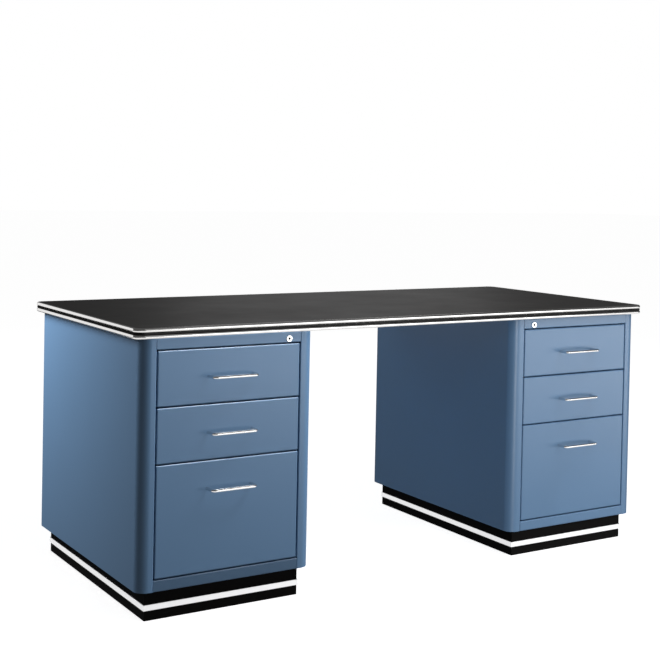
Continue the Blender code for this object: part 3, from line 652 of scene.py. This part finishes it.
class DESK_OT_worktop(bpy.types.Operator):
    """Builds the board, its lining, the beaded metal edge and the strip in its groove"""

    bl_idname = "desk.worktop"
    bl_label = "Worktop"
    bl_options = {"REGISTER", "UNDO"}

    def execute(self, context):
        shape = context.scene.desk_shape
        for name, node_name, finish, soft in (
            ("top_board", "worktop_board", "board", shape.board_edge),
            ("top_lining", "worktop_lining", "black_lining", shape.lining_edge),
        ):
            low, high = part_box(node_name)
            trim_low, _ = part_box("edge_trim")
            radius = shape.top_radius - (low.x - trim_low.x)
            obj = plain_object(name, slab(low, high, radius, shape.corner_steps))
            soft_edges(obj, soft)
            finished(obj, finish, "root", [node_name])
        finished(self.edge(shape), "nickel", "root", ["edge_trim"])
        finished(self.insert(shape), "black_insert", "root", ["edge_insert"])
        return {"FINISHED"}

    def edge(self, shape):
        """Two beads with a groove between them, on a flat web with a softly rounded inner rim."""
        low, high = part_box("edge_trim")
        lining_low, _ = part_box("worktop_lining")
        web = lining_low.x - low.x - shape.bead_depth - shape.fit
        inner = high.x - shape.bead_depth - web
        soft = shape.lip_round
        ease = soft * 0.3  # of the rounding's middle point from the corner
        section = [(inner, low.z)]
        for foot in (low.z, high.z - shape.bead_height):
            for i in range(shape.bead_steps + 1):
                turn = math.pi * i / shape.bead_steps
                out = inner + web + shape.bead_depth * math.sin(turn)
                section.append((out, foot + shape.bead_height * (1 - math.cos(turn)) / 2))
        section += [(inner + soft, high.z), (inner + ease, high.z - ease), (inner, high.z - soft)]
        return ring("top_edge", section, low, high, shape.top_radius, shape.corner_steps)

    def insert(self, shape):
        """A strip with a slightly arched face."""
        low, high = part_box("edge_insert")
        trim_low, trim_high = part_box("edge_trim")
        back = high.x - shape.bead_depth + (trim_high.x - high.x) + shape.fit
        arch = (high.x - back) * 0.12  # rise of the face, as a share of the strip's depth
        section = [(back, low.z), (high.x - arch, low.z)]
        for i in range(1, shape.bend_steps):
            turn = math.pi * i / shape.bend_steps
            up = low.z + (high.z - low.z) * (1 - math.cos(turn)) / 2
            section.append((high.x - arch + arch * math.sin(turn), up))
        section += [(high.x - arch, high.z), (back, high.z)]
        radius = shape.top_radius - (trim_high.x - high.x)
        return ring("top_edge_strip", section, low, high, radius, shape.corner_steps)


def ring(name, section, low, high, radius, steps):
    """A closed moulding round the worktop from its section, given as (x at the right side, height)."""
    bm = bmesh.new()
    middle = (low.y + high.y) / 2
    edges = line_of(bm, [(x, middle, z) for x, z in section], True)
    start = (high.x, middle, 0.0)
    corners = [
        ((high.x, high.y, 0.0), radius), ((low.x, high.y, 0.0), radius),
        ((low.x, low.y, 0.0), radius), ((high.x, low.y, 0.0), radius),
    ]
    swept(bm, edges, start, corners, start, steps)
    bmesh.ops.remove_doubles(bm, verts=bm.verts, dist=WELD)
    bmesh.ops.recalc_face_normals(bm, faces=bm.faces)
    return plain_object(name, bm)


class DESK_OT_casings(bpy.types.Operator):
    """Builds each pedestal's wrapped casing and its top and bottom pans with their front rails"""

    bl_idname = "desk.casings"
    bl_label = "Casings"
    bl_options = {"REGISTER", "UNDO"}

    def execute(self, context):
        shape = context.scene.desk_shape
        for label, _ in PEDESTALS:
            node_name = label + "_pedestal_casing"
            finished(self.casing(label + "_casing", node_name, shape), "blue_lacquer", "root", [node_name])
            for part, plate_up in (("top_pan", True), ("bottom_pan", False)):
                node_name = f"{label}_pedestal_{part}"
                pan = self.pan(f"{label}_{part}", node_name, plate_up, shape)
                if plate_up:
                    self.pierce(pan, label, shape)
                soft_edges(pan, shape.sheet * SHEET_EDGE)
                finished(pan, "blue_lacquer", "root", [node_name])
        return {"FINISHED"}

    def casing(self, name, node_name, shape):
        """One sheet wrapped round back and sides, with its front flanges turned in."""
        low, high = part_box(node_name)
        left, right = low.x + shape.flange, high.x - shape.flange
        back = low.y + shape.flange_return
        bm = bmesh.new()
        edges = line_of(bm, [(right, back, low.z), (right, back, high.z)], False)
        corners = [
            ((right, low.y, 0), shape.bend), ((high.x, low.y, 0), shape.casing_radius),
            ((high.x, high.y, 0), shape.casing_radius), ((low.x, high.y, 0), shape.casing_radius),
            ((low.x, low.y, 0), shape.casing_radius), ((left, low.y, 0), shape.bend),
        ]
        swept(bm, edges, (right, back, 0), corners, (left, back, 0), shape.corner_steps)
        faced_out(bm, (low + high) / 2)
        obj = plain_object(name, bm)
        sheet_wall(obj, shape.sheet)
        soft_edges(obj, shape.sheet * SHEET_EDGE)
        return obj

    def pan(self, name, node_name, plate_up, shape):
        """A plate inside the casing, notched round its flanges, and the rail folded from its front."""
        low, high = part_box(node_name)
        casing_low, casing_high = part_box(node_name.split("_")[0] + "_pedestal_casing")
        plate, edge = (high.z, low.z) if plate_up else (low.z, high.z)
        reach = (casing_high.x - casing_low.x) / 2 - shape.flange - shape.fit
        middle = (low.x + high.x) / 2
        bm = bmesh.new()
        back = low.y + shape.rail_return
        edges = line_of(bm, [(middle - reach, back, edge), (middle + reach, back, edge)], False)
        corners = [((0, low.y, edge), shape.bend), ((0, low.y, plate), shape.bend)]
        end = (0, low.y + 2 * shape.rail_return, plate)
        swept(bm, edges, (0, back, edge), corners, end, shape.bend_steps)
        faced_out(bm, (middle, low.y + 4 * shape.rail_return, (low.z + high.z) / 2))
        rail = plain_object(name, bm)
        sheet_wall(rail, shape.sheet)
        applied(rail)
        inset = shape.sheet + shape.fit
        plate_z = sorted((plate, plate + math.copysign(shape.sheet, edge - plate)))
        notch_back = low.y + shape.flange_return + shape.fit
        plate_low = (low.x, casing_low.y + inset, plate_z[0])
        radius = shape.casing_radius - inset
        plate_high = (high.x, high.y, plate_z[1])
        floor = plain_object(name + "_plate", slab(plate_low, plate_high, radius, shape.corner_steps))
        notches = []
        for side in (-1, 1):
            near, far = sorted((middle + side * reach, middle + side * (reach + shape.bend + 2 * shape.fit)))
            cut = block((near, low.y - inset, plate_z[0] - inset), (far, notch_back, plate_z[1] + inset))
            notches.append(plain_object("notch", cut))
        combined(floor, "DIFFERENCE", notches)
        return combined(rail, "UNION", [floor])

    def pierce(self, pan, label, shape):
        """The round hole that the lock's barrel sits in."""
        low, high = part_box(label + "_lock_barrel")
        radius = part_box(label + "_lock_plug")[1].z - (low.z + high.z) / 2 + shape.fit
        centre = (low + high) / 2
        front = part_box(label + "_pedestal_top_pan")[0].y
        profile = [(0, -shape.rail_return / 2), (radius, -shape.rail_return / 2),
                   (radius, shape.rail_return / 2), (0, shape.rail_return / 2)]
        drill = lathe(profile, (centre.x, front, centre.z), "Y", shape.round_steps)
        closed_up(drill)
        combined(pan, "DIFFERENCE", [plain_object("drill", drill)])


class DESK_OT_plinths(bpy.types.Operator):
    """Builds each pedestal's black plinth and the metal band round it"""

    bl_idname = "desk.plinths"
    bl_label = "Plinths"
    bl_options = {"REGISTER", "UNDO"}

    def execute(self, context):
        shape = context.scene.desk_shape
        for label, _ in PEDESTALS:
            for part, finish, wall, soft in (
                ("plinth", "black_lacquer", shape.plinth_board, shape.plinth_edge),
                ("plinth_band", "satin_metal", shape.band, shape.band_edge),
            ):
                node_name = f"{label}_{part}"
                low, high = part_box(node_name)
                bm = block(low, high)
                lids = [f for f in bm.faces if abs(f.normal.z) > 0.5]
                bmesh.ops.delete(bm, geom=lids, context="FACES_ONLY")
                obj = plain_object(f"{label}_{part}_frame", bm)
                sheet_wall(obj, wall)
                soft_edges(obj, soft, 3)
                finished(obj, finish, "root", [node_name])
        return {"FINISHED"}


class DESK_OT_drawers(bpy.types.Operator):
    """Builds the pressed drawer fronts and the sheet boxes behind them"""

    bl_idname = "desk.drawers"
    bl_label = "Drawers"
    bl_options = {"REGISTER", "UNDO"}

    def execute(self, context):
        shape = context.scene.desk_shape
        for label, _ in PEDESTALS:
            for drawer in DRAWERS:
                body = f"{label}_{drawer}_drawer"
                finished(self.front(body, shape), "blue_lacquer", body, [body + "_front"])
                finished(self.tray(body, shape), "zinc_steel", body, [body + "_box"])
        return {"FINISHED"}

    def front(self, body, shape):
        """A pan pressed with rounded edges, its rim turned in behind."""
        bm = block(*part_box(body + "_front"))
        back = [f for f in bm.faces if f.normal.y > 0.5]
        bmesh.ops.inset_individual(bm, faces=back, thickness=shape.front_rim)
        bmesh.ops.delete(bm, geom=back, context="FACES_ONLY")
        sharp = [e for e in bm.edges if len(e.link_faces) == 2 and e.calc_face_angle() > SMOOTH_ANGLE]
        rounded(bm, sharp, shape.front_round, shape.bend_steps)
        obj = plain_object(body + "_face", bm)
        sheet_wall(obj, shape.front_sheet)
        return obj

    def tray(self, body, shape):
        """A folded box with a hem round its rim."""
        low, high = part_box(body + "_box")
        bm = block(low, high)
        lid = [f for f in bm.faces if f.normal.z > 0.5]
        bmesh.ops.inset_individual(bm, faces=lid, thickness=shape.box_hem)
        bmesh.ops.delete(bm, geom=lid, context="FACES_ONLY")
        sharp = [e for e in bm.edges if len(e.link_faces) == 2 and e.calc_face_angle() > SMOOTH_ANGLE]
        rounded(bm, sharp, shape.box_round, shape.bend_steps // 2)
        obj = plain_object(body + "_tray", bm)
        sheet_wall(obj, shape.box_sheet)
        soft_edges(obj, shape.box_sheet * SHEET_EDGE)
        return obj


class DESK_OT_handles(bpy.types.Operator):
    """Builds the bent rod handles"""

    bl_idname = "desk.handles"
    bl_label = "Handles"
    bl_options = {"REGISTER", "UNDO"}

    def execute(self, context):
        shape = context.scene.desk_shape
        for label, _ in PEDESTALS:
            for drawer in DRAWERS:
                body = f"{label}_{drawer}_drawer"
                finished(self.handle(body, shape), "nickel", body, [body + "_handle"])
        return {"FINISHED"}

    def handle(self, body, shape):
        low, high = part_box(body + "_handle")
        radius = shape.handle_radius
        z = (low.z + high.z) / 2
        left, right, out = low.x + radius, high.x - radius, low.y + radius
        bm = bmesh.new()
        start, end = (right, high.y, z), (left, high.y, z)
        edges = round_of(bm, start, (0, 1, 0), radius, shape.round_steps)
        bend = shape.handle_bend
        swept(bm, edges, start, [((right, out, z), bend), ((left, out, z), bend)], end, shape.corner_steps)
        closed_up(bm)
        obj = plain_object(body + "_pull", bm)
        soft_edges(obj, shape.handle_edge)
        return obj


class DESK_OT_locks(bpy.types.Operator):
    """Builds the lock's rosette and barrel, and the plug with its keyway, whose dark is painted shade: a
    black disc in the plug's cup
    """

    bl_idname = "desk.locks"
    bl_label = "Locks"
    bl_options = {"REGISTER", "UNDO"}

    def execute(self, context):
        shape = context.scene.desk_shape
        for label, _ in PEDESTALS:
            low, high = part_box(label + "_lock_barrel")
            centre = Vector(((low.x + high.x) / 2, 0.0, (low.z + high.z) / 2))
            barrel = self.barrel(label, centre, low, high, shape)
            finished(barrel, "nickel", "root", [label + "_lock_barrel"])
            plug = self.plug(label, centre, shape)
            finished(plug, "nickel", label + "_lock_plug", [label + "_lock_plug"])
            # a black disc in each lock's cup, painted as the keyway's shade
            finished(self.keyway_shade_disc(label, centre, shape), "black_insert", label + "_lock_plug")
        return {"FINISHED"}

    def barrel(self, label, centre, low, high, shape):
        """A rosette with a rounded rim that slopes in to the plug, and the barrel behind it."""
        rosette, bore, barrel = (high.z - low.z) / 2, shape.lock_bore, shape.lock_barrel
        depth, soft = shape.lock_rosette, shape.lock_rosette * 0.35
        profile = [
            (bore, high.y), (bore, low.y + soft * 0.7), (bore + soft * 0.5, low.y + soft * 0.2),
            (rosette - soft * 1.4, low.y), (rosette - soft * 0.5, low.y + soft * 0.25),
            (rosette, low.y + soft), (rosette, low.y + depth), (barrel, low.y + depth), (barrel, high.y),
            (bore, high.y),
        ]
        bm = lathe(profile, centre, "Y", shape.round_steps)
        closed_up(bm)
        return plain_object(label + "_lock_rosette", bm)

    def plug(self, label, centre, shape):
        """The turning plug with a cup in its face, and the disc and the pin that lift the lock bar."""
        low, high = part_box(label + "_lock_plug")
        _, barrel_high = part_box(label + "_lock_barrel")
        disc, plug, cup = (high.z - low.z) / 2, shape.lock_plug, shape.lock_cup
        disc_front = barrel_high.y + shape.fit
        disc_back = disc_front + shape.lock_disc
        soft, floor = shape.fit, low.y + shape.lock_cup_depth
        profile = [
            (0, floor), (cup, floor), (cup, low.y + soft), (cup + soft, low.y), (plug - soft, low.y),
            (plug, low.y + soft), (plug, disc_front), (disc, disc_front), (disc, disc_back), (0, disc_back),
        ]
        bm = lathe(profile, centre, "Y", shape.round_steps)
        closed_up(bm)
        obj = plain_object(label + "_lock_cylinder", bm)
        kneehole = dict(PEDESTALS)[label]
        throw = (disc - shape.lock_pin) * math.cos(PIN_ANGLE)
        spot = centre + Vector((kneehole * throw, 0, -throw))
        root = disc_back - shape.lock_disc / 2
        pin = [(0, root), (shape.lock_pin, root), (shape.lock_pin, high.y), (0, high.y)]
        stud = lathe(pin, spot, "Y", shape.round_steps // 2)
        closed_up(stud)
        return combined(obj, "UNION", [plain_object("stud", stud)])

    def keyway_shade_disc(self, label, centre, shape):
        """A black disc in the plug's cup, painted shade for the dark of the keyway, with the slot for the
        key.
        """
        low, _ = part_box(label + "_lock_plug")
        radius, back = shape.lock_cup - shape.fit, low.y + shape.lock_cup_depth - shape.fit / 2
        front = back - shape.lock_cup_depth / 2
        bm = lathe([(0, front), (radius, front + shape.fit), (radius, back), (0, back)], centre, "Y",
                   shape.round_steps)
        closed_up(bm)
        # the black disc is painted shade, standing for the dark inside the keyway
        obj = plain_object(label + "_lock_shutter", bm)
        half_width, half_height = shape.lock_cup * 0.2, shape.lock_cup * 0.8
        slot = block((centre.x - half_width, front - shape.fit, centre.z - half_height),
                     (centre.x + half_width, back - shape.fit, centre.z + half_height))
        return combined(obj, "DIFFERENCE", [plain_object("slot", slot)])


# Stage

def area_light(name, place, target, size, watts, only=None):
    """A softbox that lights all, or only one group of pieces."""
    data = bpy.data.lights.new(name, "AREA")
    data.shape = "RECTANGLE"
    data.size, data.size_y = size
    data.energy = watts
    obj = bpy.data.objects.new(name, data)
    obj.location = place
    obj.rotation_euler = (Vector(target) - Vector(place)).to_track_quat("-Z", "Y").to_euler()
    obj.visible_camera = False
    if only:
        obj.light_linking.receiver_collection = RECEIVERS[only]
    bpy.context.scene.collection.objects.link(obj)
    return obj


def white_card(name, place, target, size, brightness):
    """A large card that only the metals mirror, as bright all over as it is said to be."""
    area_light(name, place, target, size, brightness * math.pi * size[0] * size[1], "mirrors")


class DESK_OT_stage(bpy.types.Operator):
    """Sets the pale floor, the studio light and the camera"""

    bl_idname = "desk.stage"
    bl_label = "Stage"

    def execute(self, context):
        stage = context.scene.desk_stage
        self.floor(stage)
        self.lights(stage)
        self.world(stage)
        self.camera(stage)
        context.scene.view_settings.view_transform = "Standard"
        return {"FINISHED"}

    def floor(self, stage):
        bm = bmesh.new()
        bmesh.ops.create_grid(bm, x_segments=1, y_segments=1, size=FLOOR_REACH)
        obj = plain_object("studio_floor", bm)
        tree, surface = new_material("studio_floor", Roughness=0.9, Emission_Strength=stage.floor_glow)
        grain = noise(tree, 3.0, detail=4.0)
        tree.links.new(shaded(tree, grain, stage.floor, 0.01), surface["Base Color"])
        surface["Emission Color"].default_value = (1.0, 1.0, 1.0, 1.0)
        obj.data.materials.append(MATERIALS["studio_floor"])
        lit_by("painted", obj)
        obj.visible_glossy = False
        obj.visible_diffuse = False
        obj.visible_shadow = False

    def lights(self, stage):
        """Softboxes for the paint, some for one pedestal alone, and white cards for the metals."""
        key = ((0.45, -2.0, 1.75), (0.6, -0.36, 0.45), (1.8, 1.4))  # each is place, aim and size
        low = ((2.1, -3.6, 0.5), (0.9, -0.36, 0.4), (2.4, 1.3))
        side = ((-1.5, 0.75, 1.25), (-0.85, 0.5, 0.5), (0.6, 0.6))
        kneehole = ((-0.6, 0.9, 0.9), (0.35, 0.0, 0.35), (0.7, 0.7))
        top = ((0.9, -1.25, 2.6), (0.3, -0.36, 0.6), (1.6, 0.45))
        edges = ((0.42, -0.66, 2.6), (-0.5, -0.4, 0.6), (1.2, 0.22))
        left_flank = ((-0.7, -3.3, 0.3), (0.4, -0.36, 0.4), (1.0, 1.4))
        right_flank = ((4.3, -3.2, 0.2), (0.8, -0.36, 0.4), (0.9, 1.4))
        back = ((2.6, 4.2, 2.2), (0.2, 0.0, 0.75), (2.2, 2.0))
        area_light("key_softbox", *key, stage.key)
        area_light("low_softbox", *low, stage.low)
        area_light("right_key", *key, stage.right, "right_pedestal")
        area_light("side_softbox", *side, stage.side, "left_pedestal")
        area_light("kneehole_softbox", *kneehole, stage.kneehole, "right_pedestal")
        area_light("top_strip", *top, stage.top, "painted")
        strip = area_light("edge_strip", *edges, stage.edge, "left_fronts")
        strip.light_linking.blocker_collection = RECEIVERS["left_fronts"]
        area_light("left_flank", *left_flank, stage.flank, "right_pedestal")
        area_light("right_flank", *right_flank, stage.flank, "right_pedestal")
        area_light("back_screen", *back, stage.back)
        white_card("floor_card", (0.9, -1.6, -0.02), (0.9, -1.6, 1.0), (8.0, 6.0), stage.card)
        white_card("right_card", (3.2, -4.3, 0.1), (0.3, -0.4, 0.6), (5.0, 1.6), stage.card)
        white_card("left_card", (-2.6, 3.7, 0.9), (-0.9, 0.0, 0.7), (3.0, 3.0), stage.card)

    def world(self, stage):
        world = bpy.data.worlds.new("studio")
        world.use_nodes = True
        bpy.context.scene.world = world
        tree = world.node_tree
        background = tree.nodes["Background"]
        path = node(tree, "ShaderNodeLightPath")
        seen = math_node(tree, "MULTIPLY", path.outputs["Is Camera Ray"], 1.0 - stage.ambient)
        tree.links.new(math_node(tree, "ADD", seen, stage.ambient), background.inputs["Strength"])
        background.inputs["Color"].default_value = (1.0, 1.0, 1.0, 1.0)

    def camera(self, stage):
        data = bpy.data.cameras.new("camera")
        data.sensor_width = SENSOR_WIDTH
        data.lens = stage.lens
        data.shift_y = stage.rise
        obj = bpy.data.objects.new("camera", data)
        facing = (Matrix.Rotation(stage.yaw, 4, "Z") @ Matrix.Rotation(math.pi / 2 - stage.pitch, 4, "X")
                  @ Matrix.Rotation(stage.roll, 4, "Z"))
        obj.matrix_world = Matrix.Translation(stage.place) @ facing
        bpy.context.scene.collection.objects.link(obj)
        bpy.context.scene.camera = obj


STEPS = (
    DESK_OT_finishes, DESK_OT_worktop, DESK_OT_casings, DESK_OT_plinths, DESK_OT_drawers, DESK_OT_handles,
    DESK_OT_locks, DESK_OT_stage,
)


class DESK_PT_panel(bpy.types.Panel):
    """The desk's steps, in the order that they run"""

    bl_idname = "DESK_PT_panel"
    bl_label = "Teacher Desk"
    bl_space_type = "VIEW_3D"
    bl_region_type = "UI"
    bl_category = "Desk"

    def draw(self, context):
        for step in STEPS:
            self.layout.operator(step.bl_idname)
        for settings in (context.scene.desk_shape, context.scene.desk_finish, context.scene.desk_stage):
            box = self.layout.box()
            for name in settings.__annotations__:
                box.prop(settings, name)


CLASSES = (DeskShape, DeskFinish, DeskStage, *STEPS, DESK_PT_panel)


def register():
    for cls in CLASSES:
        bpy.utils.register_class(cls)
    bpy.types.Scene.desk_shape = PointerProperty(type=DeskShape)
    bpy.types.Scene.desk_finish = PointerProperty(type=DeskFinish)
    bpy.types.Scene.desk_stage = PointerProperty(type=DeskStage)


def unregister():
    for name in ("desk_stage", "desk_finish", "desk_shape"):
        delattr(bpy.types.Scene, name)
    for cls in reversed(CLASSES):
        bpy.utils.unregister_class(cls)


def main():
    register()
    bpy.ops.desk.finishes()
    bpy.ops.desk.worktop()
    bpy.ops.desk.casings()
    bpy.ops.desk.plinths()
    bpy.ops.desk.drawers()
    bpy.ops.desk.handles()
    bpy.ops.desk.locks()
    bpy.ops.desk.stage()


if __name__ == "__main__":
    main()
